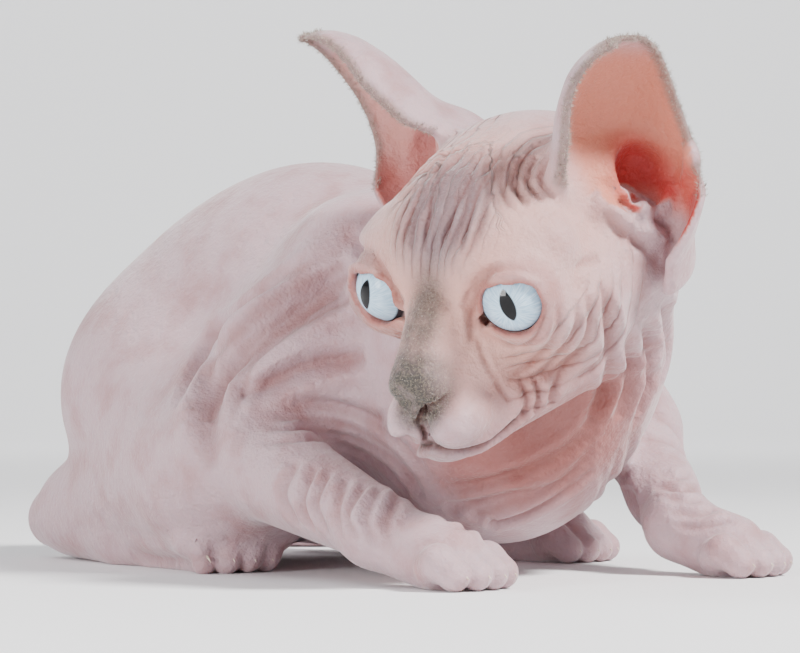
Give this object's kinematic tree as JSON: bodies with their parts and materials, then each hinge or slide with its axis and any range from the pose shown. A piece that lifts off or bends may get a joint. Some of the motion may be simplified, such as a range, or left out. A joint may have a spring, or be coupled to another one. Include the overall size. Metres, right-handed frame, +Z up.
{
  "type": "hairless cat",
  "caption": "Life-size hairless cat crouching on its paws with its head turned over one shoulder, large upright ears and pale eyes, tail laid beside it.",
  "frame": {"origin": "centre of the footprint of the whole animal, on the floor", "axes": "+Z up, -Y the way the body faces, +X the animal's left side"},
  "size_m": [0.1949, 0.3025, 0.1618],
  "materials": {
    "skin": "bare, finely wrinkled skin with a velvet of very short down",
    "eye": "wet and glossy, pale blue iris with an upright slit pupil"
  },
  "bodies": {
    "root": {"head": "skin", "neck": "skin", "trunk": "skin", "foreleg_right": "skin", "foreleg_left": "skin", "hindleg_right": "skin", "hindleg_left": "skin", "tail": "skin", "ear_left": "skin", "ear_right": "skin", "eye_left": "eye", "eye_right": "eye"}
  },
  "joints": []
}
